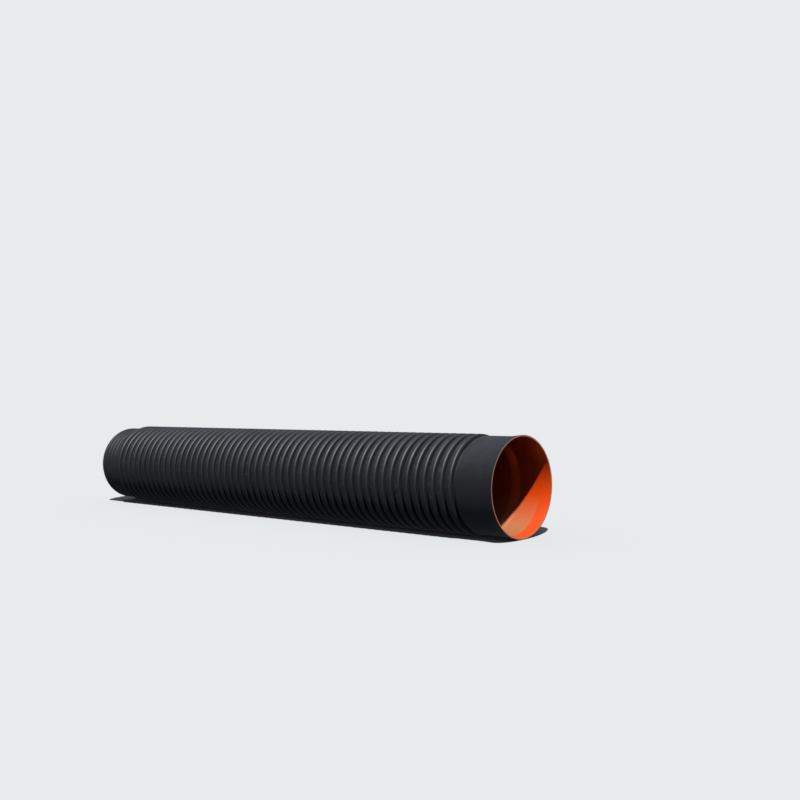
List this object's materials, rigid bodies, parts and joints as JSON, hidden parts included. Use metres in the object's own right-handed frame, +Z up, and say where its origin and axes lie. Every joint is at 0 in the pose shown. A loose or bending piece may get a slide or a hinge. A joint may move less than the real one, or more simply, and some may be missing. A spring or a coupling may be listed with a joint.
{
  "type": "corrugated drainage pipe",
  "caption": "Straight double-wall corrugated plastic drainage pipe, black ringed outside and smooth orange inside, with a plain socket and a finely ringed spigot.",
  "frame": {"origin": "on the floor under the middle of the pipe's length, where it lies level on its rings", "axes": "+X along the pipe's axis towards the socket, +Z up, +Y across the pipe"},
  "size_m": [6, 0.916, 0.916],
  "materials": {
    "black_polyethylene": "extruded and mould-formed polyethylene, carbon black, satin",
    "orange_polyethylene": "extruded polyethylene, orange right through, smooth satin"
  },
  "bodies": {
    "root": {"outer_wall": "black_polyethylene", "inner_wall": "orange_polyethylene"}
  },
  "joints": []
}
